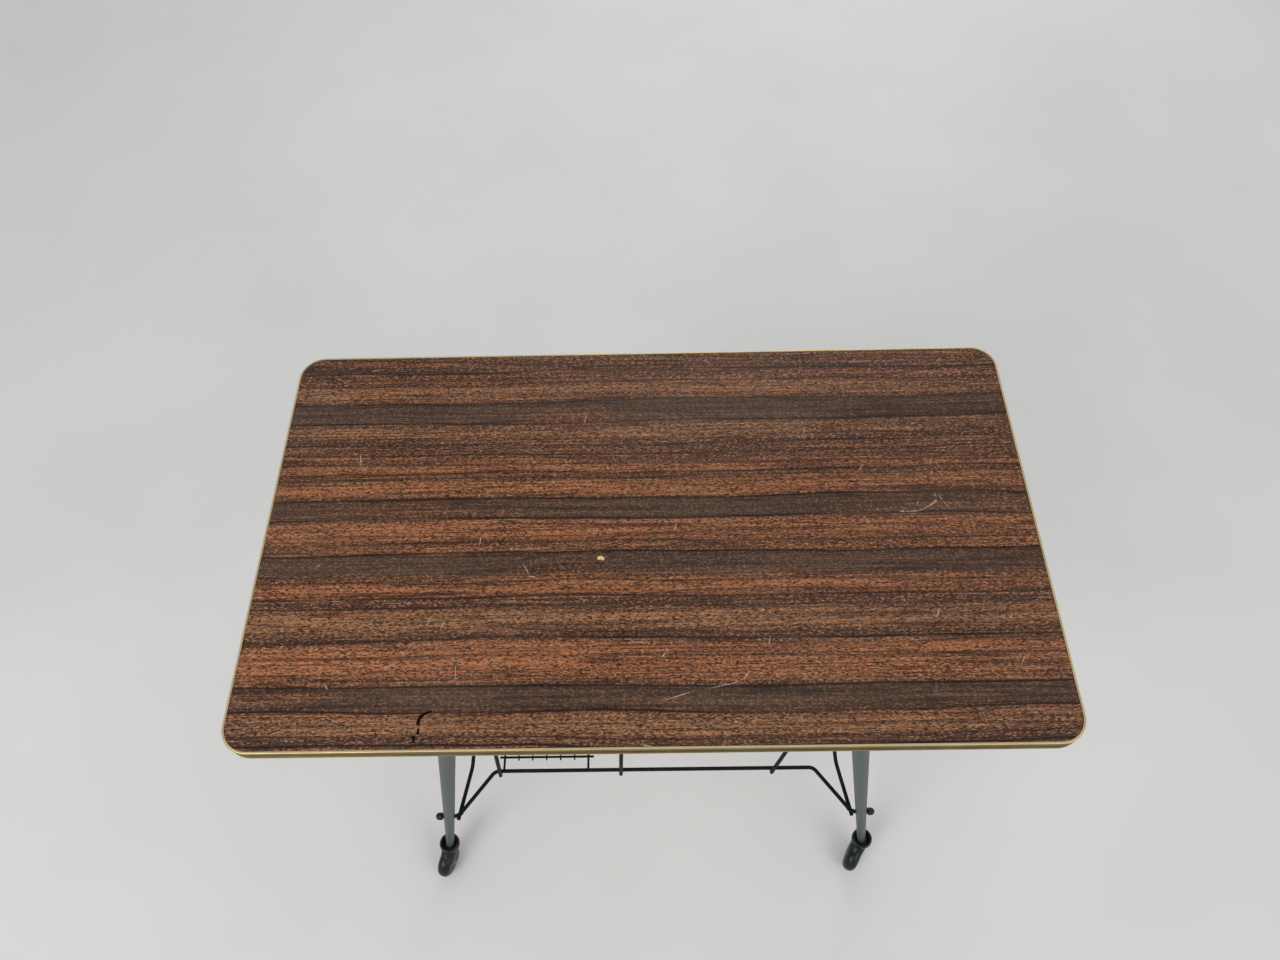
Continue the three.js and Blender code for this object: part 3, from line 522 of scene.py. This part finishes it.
for corner, (side, end, heading) in corners.items():
    leg = bmesh.new()
    turn(leg, [(leg_foot_radius - leg_wall, 0), (leg_foot_radius, 0),
               (leg_top_radius, leg_rise), (leg_top_radius - leg_wall, leg_rise),
               (leg_foot_radius - leg_wall, 0)], steps=56)
    outward = Vector((side * slope_x, end * slope_y, 0)).normalized()
    swell = Matrix.Scale(leg_stretch, 4, outward)
    lean = Matrix.Identity(4)
    lean[0][2], lean[1][2] = -side * slope_x, -end * slope_y
    foot = Matrix.Translation((side * foot_x, end * foot_y, leg_end))
    bmesh.ops.transform(leg, verts=leg.verts, matrix=foot @ lean @ swell)
    finish_piece("leg_tube_" + corner, leg, enamel, "table", "leg_enamel", "leg_" + corner)

    weld = bmesh.new()
    head_place = Vector((side * top_x, end * top_y, leg_top - weld_offset))
    ring = Matrix.Translation(head_place + Vector((leg_top_radius + weld_offset, 0, 0)))
    ring = ring @ Matrix.Rotation(pi / 2, 4, "X")
    bmesh.ops.create_circle(weld, segments=10, radius=weld_radius, matrix=ring)
    bmesh.ops.spin(weld, geom=weld.verts[:] + weld.edges[:], cent=head_place, axis=(0, 0, 1),
                   angle=2 * pi, steps=72, use_merge=True)
    bmesh.ops.remove_doubles(weld, verts=weld.verts, dist=1e-6)
    bmesh.ops.recalc_face_normals(weld, faces=weld.faces)
    for vert in weld.verts:
        vert.co.z = min(vert.co.z, leg_top - weld_gap)
    finish_piece("leg_weld_" + corner, weld, enamel, "table", "leg_enamel")


# Rack: steel rods 5 mm thick, bent, spot welded and dipped in black enamel. The two cross
# rails run through the legs, the side rails lie under them, and three hoops divide the rack.

black_wire, shader = new_finish("black_wire_enamel", Specular_IOR_Level=0.05)
wire_cloud = mottle(black_wire, (10, 10, 10), 3)
wire_colour = blend(black_wire, wire_cloud, paint(16, 19, 20), paint(30, 33, 34))
wire_rubs = between(black_wire, mottle(black_wire, (5, 5, 5), 4), 0.66, 0.74)
wire_rubs = calc(black_wire, "MULTIPLY", wire_rubs, 0.3)
wire_colour = blend(black_wire, wire_rubs, wire_colour, paint(92, 92, 88))
feed(black_wire, shader, "Base Color", wire_colour)
feed(black_wire, shader, "Roughness", calc(black_wire, "MULTIPLY_ADD", wire_cloud, 0.25, 0.5))
relief(black_wire, shader, mottle(black_wire, (1.2, 1.2, 1.2), 2), 0.00008)


def bent_rod(bm, corner_points, diameter, bend_radius=0.012, sides=20):
    """A round rod along a line of corners, with round bends and softened ends."""
    points = [Vector(point) for point in corner_points]
    heading = (points[1] - points[0]).normalized()
    stand = heading.to_track_quat("Z", "Y").to_matrix().to_4x4()
    ring = bmesh.ops.create_circle(bm, segments=sides, radius=diameter / 2,
                                   matrix=Matrix.Translation(points[0]) @ stand)["verts"]
    section = list({edge for vert in ring for edge in vert.link_edges})
    moves = []
    place = points[0]
    for corner_point, after in zip(points[1:], points[2:]):
        onward = (after - corner_point).normalized()
        angle = heading.angle(onward)
        reach = bend_radius * tan(angle / 2)
        start = corner_point - heading * reach
        axis = heading.cross(onward).normalized()
        moves.append(run(start - place))
        moves.append(bend(start + axis.cross(heading) * bend_radius, axis, angle))
        place = corner_point + onward * reach
        heading = onward
    moves.append(run(points[-1] - place))
    ends = draw_along(bm, section, moves)
    rims = list({edge for face in ends for edge in face.edges})
    end_round = diameter * 0.22
    bmesh.ops.bevel(bm, geom=rims, offset=end_round, affect="EDGES",
                    segments=3, profile=0.5, material=-1)


rack_z, rod, gap = 0.146, 0.005, 0.0003
share = (rack_z - leg_end) / leg_rise
through_x = foot_x + (top_x - foot_x) * share
through_y = foot_y + (top_y - foot_y) * share
leg_half = (leg_foot_radius + (leg_top_radius - leg_foot_radius) * share) * leg_stretch
rail_straight, rail_bend_inset, rail_y = 0.005, 0.056, 0.0965
entry_x, bend_x = through_x - leg_half - rail_straight, through_x - rail_bend_inset
tip_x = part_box("front_rail")[1][0]
side_clear, side_overhang, side_bow, side_run, side_bend = 0.0015, 0.004, 0.013, 0.068, 0.06
side_end_x = through_x - leg_half - side_clear - rod / 2
side_end_y, side_z = through_y + side_overhang, rack_z - rod - gap

for name, end in (("front_rail", -1), ("back_rail", 1)):
    rail = bmesh.new()
    half = [(tip_x, through_y), (entry_x, through_y), (bend_x, rail_y)]
    line = half + [(-x, y) for x, y in reversed(half)]
    bent_rod(rail, [(x, end * y, rack_z) for x, y in line], rod)
    finish_piece(name + "_rod", rail, black_wire, "table", "wire_enamel", name)

for name, side in (("left_rail", -1), ("right_rail", 1)):
    rail = bmesh.new()
    half = [(side_end_x, side_end_y), (side_end_x - side_bow, side_end_y - side_run)]
    line = half + [(x, -y) for x, y in reversed(half)]
    bent_rod(rail, [(side * x, y, side_z) for x, y in line], rod, side_bend)
    finish_piece(name + "_rod", rail, black_wire, "table", "wire_enamel", name)

divider_inset, left_bay, right_bay = 0.0072, 0.159, 0.1985
divider_height, divider_bend = 0.182, 0.028
divider_y = rail_y + rod + gap
divider_x = {"divider_left": divider_inset - bend_x}
divider_x["divider_middle"] = divider_x["divider_left"] + left_bay
divider_x["divider_right"] = divider_x["divider_middle"] + right_bay
leans = {"divider_left": 5.2, "divider_middle": 2.3, "divider_right": 3.7}
for name, x in divider_x.items():
    hoop = bmesh.new()
    bent_rod(hoop, [
        (0, -divider_y, -rod / 2), (0, -divider_y, divider_height),
        (0, divider_y, divider_height), (0, divider_y, -rod / 2),
    ], rod, divider_bend)
    lean = Matrix.Rotation(radians(leans[name]), 4, "Y")
    place = Matrix.Translation((x, 0, rack_z)) @ lean
    bmesh.ops.transform(hoop, verts=hoop.verts, matrix=place)
    finish_piece(name + "_hoop", hoop, black_wire, "table", "wire_enamel", name)


# Wire floor: seven thin wires over two cross wires in the left bay, spot welded at every
# crossing. The outer two are thicker and lie on the cross rails.

frame_wire, thin_wire = 0.003, 0.002
grid_inset, grid_pitch, grid_count = 0.005, 0.0185, 7
cross_inset, cross_overhang, wire_overhang = 0.0175, 0.007, 0.005
grid_left, cross_y = divider_x["divider_left"] + grid_inset, rail_y - cross_inset
outer_z = rack_z + rod / 2 + frame_wire / 2 + gap
cross_z = outer_z - frame_wire - gap
inner_z = cross_z + frame_wire / 2 + thin_wire / 2 + gap
grid_xs = [grid_left + grid_pitch * index for index in range(grid_count)]

for name, end in (("grid_cross_front", -1), ("grid_cross_back", 1)):
    wire = bmesh.new()
    bent_rod(wire, [(grid_xs[0] - cross_overhang, end * cross_y, cross_z),
                    (grid_xs[-1] + cross_overhang, end * cross_y, cross_z)],
             frame_wire, sides=14)
    finish_piece(name + "_wire", wire, black_wire, "table", "wire_enamel", name)
for number, x in enumerate(grid_xs, 1):
    if number in (1, grid_count):
        reach, z, thickness = rail_y + rod / 2, outer_z, frame_wire
    else:
        reach, z, thickness = cross_y + wire_overhang, inner_z, thin_wire
    wire = bmesh.new()
    bent_rod(wire, [(x, -reach, z), (x, reach, z)], thickness, sides=14)
    name = f"grid_wire_{number}"
    finish_piece(name + "_rod", wire, black_wire, "table", "wire_enamel", name)

welds = bmesh.new()
hoop_weld, side_weld = (0.0026, 0.0014, 0.0024), (0.0026, 0.0026, 0.0013)
outer_weld, inner_weld = (0.0018, 0.0022, 0.001), (0.0013, 0.0014, 0.0008)
hoop_weld_y = rail_y + rod / 2 + 0.0001
side_weld_x, side_weld_y = 0.2505, 0.1492


def spot_weld(place, size):
    """A small blob of melted steel between two rods, drawn out where they touch."""
    blob = Matrix.Translation(place) @ Matrix.Diagonal(size).to_4x4()
    bmesh.ops.create_icosphere(welds, subdivisions=2, radius=1.0, matrix=blob)


for end in (-1, 1):
    for x in divider_x.values():
        spot_weld((x, end * hoop_weld_y, rack_z), hoop_weld)
    for side in (-1, 1):
        spot_weld((side * side_weld_x, end * side_weld_y, rack_z - rod / 2), side_weld)
    for x in (grid_xs[0], grid_xs[-1]):
        spot_weld((x, end * rail_y, rack_z + rod / 2), outer_weld)
    for x in grid_xs:
        spot_weld((x, end * cross_y, cross_z + frame_wire / 2), inner_weld)
finish_piece("rack_welds", welds, black_wire, "table", "wire_enamel")


# Cap nuts: round-headed nuts of black plastic, pressed on the ends of the cross rails where
# these come out of the legs.

moulded, shader = new_finish("black_moulded_plastic", Specular_IOR_Level=0.28)
plastic_cloud = mottle(moulded, (9, 9, 9), 3)
plastic_colour = blend(moulded, plastic_cloud, paint(8, 15, 17), paint(18, 29, 31))
scuffs = between(moulded, mottle(moulded, (3, 3, 6), 4), 0.64, 0.74)
scuffs = calc(moulded, "MULTIPLY", scuffs, 0.35)
plastic_colour = blend(moulded, scuffs, plastic_colour, paint(60, 66, 66))
feed(moulded, shader, "Base Color", plastic_colour)
plastic_shine = calc(moulded, "MULTIPLY_ADD", plastic_cloud, 0.2, 0.24)
feed(moulded, shader, "Roughness", calc(moulded, "ADD", plastic_shine, scuffs))
relief(moulded, shader, mottle(moulded, (0.9, 0.9, 0.9), 2), 0.00004)

nut_radius, nut_skirt, nut_edge = 0.0048, 0.004, 0.0006
nut_bore, nut_bore_depth = rod / 2 + gap, 0.006
dome_angles = [radians(angle) for angle in range(0, 90, 9)]
nut_outline = [(0, nut_bore_depth), (nut_bore, nut_bore_depth), (nut_bore, 0),
               (nut_radius - nut_edge, 0), (nut_radius, nut_edge)]
nut_outline += [(nut_radius * cos(angle), nut_skirt + nut_radius * sin(angle))
                for angle in dome_angles]
nut_outline += [(0, nut_skirt + nut_radius)]
for corner, (side, end, heading) in corners.items():
    nut = bmesh.new()
    turn(nut, nut_outline)
    nut_low, nut_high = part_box("cap_nut_" + corner)
    base = nut_low[0] if side > 0 else nut_high[0]
    lie = Matrix.Rotation(side * pi / 2, 4, "Y")
    place = Matrix.Translation((base, end * through_y, rack_z)) @ lie
    bmesh.ops.transform(nut, verts=nut.verts, matrix=place)
    finish_piece("cap_nut_dome_" + corner, nut, moulded, "table", "caster_plastic",
                 "cap_nut_" + corner)


# Pivot pins and washers: turned steel, blued and greased. The pin's plug is driven into the
# leg's end, and its shank stands upright through the washer and the caster's boss.

greased, shader = new_finish("greased_steel", Metallic=0.9)
grease = mottle(greased, (6, 6, 6), 4)
pin_colour = blend(greased, grease, paint(30, 29, 28), paint(62, 60, 58))
feed(greased, shader, "Base Color", pin_colour)
feed(greased, shader, "Roughness", calc(greased, "MULTIPLY_ADD", grease, 0.35, 0.2))
for corner in corners:
    dress(greased, "pivot_pin_" + corner, "thrust_washer_" + corner)


# Casters: one black moulding each, a rounded hood over the wheel that flows up into a cup
# round the leg's foot. The wheel is dark rubber on a steel rivet, and the hood turns on the
# pivot pin.

trail, axle_z = 0.019, 0.018
hood_radius, hood_half, hood_edge = 0.0214, 0.0091, 0.0086
cavity_radius, cavity_half, cavity_edge = 0.0192, 0.0063, 0.003
boss_bottom, cup_floor, cup_rim = 0.0329, 0.0419, 0.0529
cup_inner, cup_outer, cup_lip = 0.00924, 0.01344, 0.0012
pin_bore, head_bore, head_space = 0.0033, 0.0051, 0.027
axle_bore, axle_reach = 0.0023, 0.02
ground_gap, ground_size = 0.007, 0.08
saddle_steps, saddle_reach, saddle_top, saddle_fall = 8, 0.022, 0.0385, 0.0115
saddle_radius, saddle_taper = 0.0114, 0.0024
at_axle = Matrix.Translation((trail, 0, axle_z)) @ Matrix.Rotation(pi / 2, 4, "X")


def round_disc(bm, radius, half, rounding):
    """A wheel-shaped block across Y at the axle, with its rims rounded over."""
    made = bmesh.ops.create_cone(bm, cap_ends=True, segments=72, radius1=radius, radius2=radius,
                                 depth=2 * half, matrix=at_axle)["verts"]
    faces = {face for vert in made for face in vert.link_faces}
    rims = list({edge for face in faces if len(face.verts) > 4 for edge in face.edges})
    bmesh.ops.bevel(bm, geom=rims, offset=rounding, affect="EDGES",
                    segments=8, profile=0.5, material=-1)


# The guard, the neck and a saddle of balls are run together into one skin, out of which the
# wheel's space, the ground, the bores and the axle's hole are cut.
guard = bmesh.new()
round_disc(guard, hood_radius, hood_half, hood_edge)
neck = bmesh.new()
turn(neck, [
    (0, axle_z + 0.004), (0.0070, axle_z + 0.004), (0.0091, axle_z + 0.008), (0.0102, 0.0320),
    (0.0113, 0.0370), (0.0124, 0.0410), (0.0132, 0.0440), (cup_outer, 0.0468),
    (cup_outer, cup_rim - 0.0024), (cup_outer - 0.0006, cup_rim - 0.0008),
    (cup_outer - 0.0018, cup_rim), (cup_inner + cup_lip, cup_rim),
    (cup_inner, cup_rim - cup_lip), (cup_inner, cup_floor), (0, cup_floor),
])
merge(guard, neck)
for step in range(saddle_steps + 1):
    share = step / saddle_steps
    ball = Matrix.Translation((saddle_reach * share, 0, saddle_top - saddle_fall * share))
    bmesh.ops.create_uvsphere(guard, u_segments=32, v_segments=20,
                              radius=saddle_radius - saddle_taper * share, matrix=ball)
hood = new_object("hood_blank", guard)
flow = hood.modifiers.new("one_moulding", "REMESH")
flow.mode, flow.voxel_size = "VOXEL", 0.0006
soft = hood.modifiers.new("soft_joins", "SMOOTH")
soft.factor, soft.iterations = 0.5, 14

cutters = []
space = bmesh.new()
round_disc(space, cavity_radius, cavity_half, cavity_edge)
cutters.append(new_object("wheel_space", space))
ground = bmesh.new()
ground_place = Matrix.Translation((trail, 0, ground_gap - ground_size / 2))
bmesh.ops.create_cube(ground, size=ground_size, matrix=ground_place)
cutters.append(new_object("ground_cut", ground))
bore_cut = bmesh.new()
cup_cut, above_rim = cup_inner + 0.0002, cup_rim + 0.004
turn(bore_cut, [
    (0, head_space), (head_bore, head_space), (head_bore, boss_bottom), (pin_bore, boss_bottom),
    (pin_bore, cup_floor), (cup_cut, cup_floor), (cup_cut, cup_rim - cup_lip),
    (cup_cut + cup_lip, cup_rim), (cup_cut + cup_lip, above_rim), (0, above_rim),
])
cutters.append(new_object("bore_cut", bore_cut))
axle_cut = bmesh.new()
turn(axle_cut, [(0, -axle_reach), (axle_bore, -axle_reach), (axle_bore, axle_reach),
                (0, axle_reach)], steps=24)
bmesh.ops.transform(axle_cut, verts=axle_cut.verts, matrix=at_axle)
cutters.append(new_object("axle_cut", axle_cut))
for cutter in cutters:
    cut = hood.modifiers.new(cutter.name, "BOOLEAN")
    cut.operation, cut.solver, cut.object = "DIFFERENCE", "EXACT", cutter
bpy.context.view_layer.update()
evaluated_hood = hood.evaluated_get(bpy.context.evaluated_depsgraph_get())
hood_mesh = bpy.data.meshes.new_from_object(evaluated_hood)
for part in [hood] + cutters:
    bpy.data.objects.remove(part)

rubber, shader = new_finish("dark_rubber")
dust = mottle(rubber, (5, 5, 5), 5)
rubber_colour = blend(rubber, dust, paint(36, 36, 36), paint(74, 72, 69))
feed(rubber, shader, "Base Color", rubber_colour)
feed(rubber, shader, "Roughness", calc(rubber, "MULTIPLY_ADD", dust, 0.25, 0.55))
relief(rubber, shader, mottle(rubber, (0.7, 0.7, 0.7), 3), 0.0001)


def both_sides(half):
    """Half an outline, and its mirror image past the wheel's middle."""
    return half + [(radius, -z) for radius, z in reversed(half)]


wheel_half = [(axle_bore, 0.0055), (0.0055, 0.0055), (0.0058, 0.003), (0.0137, 0.003),
              (0.0140, 0.0055), (0.0150, 0.0055), (0.0166, 0.0050), (0.0176, 0.0038),
              (0.0180, 0.0022)]
wheel_outline = both_sides(wheel_half) + wheel_half[:1]
shoulder = hood_half + gap
rivet_outline = both_sides([
    (0, shoulder + 0.0008), (0.0012, shoulder + 0.00075), (0.0023, shoulder + 0.0005),
    (0.00325, shoulder + 0.0001), (0.0032, shoulder), (0.002, shoulder),
])

for corner, (side, end, heading) in corners.items():
    stand = Matrix.Translation((side * foot_x, end * foot_y, 0))
    stand = stand @ Matrix.Rotation(radians(heading), 4, "Z")
    body = "caster_" + corner

    shell = bmesh.new()
    shell.from_mesh(hood_mesh)
    bmesh.ops.transform(shell, verts=shell.verts, matrix=stand)
    finish_piece("caster_hood_moulding_" + corner, shell, moulded, body, "caster_plastic",
                 "caster_hood_" + corner)

    wheel = bmesh.new()
    turn(wheel, wheel_outline, steps=64)
    bmesh.ops.transform(wheel, verts=wheel.verts, matrix=stand @ at_axle)
    finish_piece("caster_wheel_tyre_" + corner, wheel, rubber, "wheel_" + corner, "wheel",
                 "caster_wheel_" + corner)

    axle = bmesh.new()
    turn(axle, rivet_outline, steps=32)
    bmesh.ops.transform(axle, verts=axle.verts, matrix=stand @ at_axle)
    finish_piece("caster_axle_rivet_" + corner, axle, zinc, body, "steel",
                 "caster_axle_" + corner)
bpy.data.meshes.remove(hood_mesh)


# Floor, light and camera: a plain pale floor under soft studio light from the upper left,
# seen from above the front edge.

floor, floor_half = bmesh.new(), 15.0
bmesh.ops.create_grid(floor, x_segments=1, y_segments=1, size=floor_half)
pale, shader = new_finish("pale_floor", Roughness=0.9)
floor_cloud = mottle(pale, (400, 400, 400), 3)
floor_colour = blend(pale, floor_cloud, paint(198, 198, 197), paint(212, 212, 211))
feed(pale, shader, "Base Color", floor_colour)
ground_sheet = new_object("floor", floor)
ground_sheet.data.materials.append(pale)

world = bpy.data.worlds.new("studio")
world.use_nodes = True
glow = world.node_tree.nodes["Background"].inputs
glow["Color"].default_value = (1.0, 1.0, 1.0, 1.0)
glow["Strength"].default_value = 0.65
bpy.context.scene.world = world

light_aim = Vector((0, 0, 0.4))


def soft_light(name, place, size, power):
    lamp = bpy.data.lights.new(name, "AREA")
    lamp.shape, lamp.size, lamp.energy = "DISK", size, power
    holder = bpy.data.objects.new(name, lamp)
    holder.location = place
    holder.rotation_euler = (light_aim - Vector(place)).to_track_quat("-Z", "Y").to_euler()
    bpy.context.scene.collection.objects.link(holder)


soft_light("key_light", (-1.7, -1.9, 2.3), 1.8, 42.0)
soft_light("fill_light", (1.9, -1.6, 2.1), 2.0, 21.0)
soft_light("back_light", (0.5, 2.8, 1.7), 2.0, 18.0)

pitch, yaw, roll = radians(59.366), radians(1.474), radians(-2.205)
level = Vector((cos(yaw), sin(yaw), 0))
ahead = Vector((-sin(yaw) * cos(pitch), cos(yaw) * cos(pitch), -sin(pitch)))
below = Vector((sin(pitch) * sin(yaw), -sin(pitch) * cos(yaw), -cos(pitch)))
right = level * cos(roll) - below * sin(roll)
up = -(level * sin(roll) + below * cos(roll))
lens = bpy.data.cameras.new("camera")
lens.lens, lens.sensor_width, lens.sensor_fit = 26.1, 36.0, "HORIZONTAL"
camera = bpy.data.objects.new("camera", lens)
camera.matrix_world = Matrix((right, up, -ahead)).transposed().to_4x4()
camera.matrix_world.translation = (0.004, -0.392, 1.3958)
bpy.context.scene.collection.objects.link(camera)
bpy.context.scene.camera = camera
bpy.context.scene.view_settings.view_transform = "Standard"
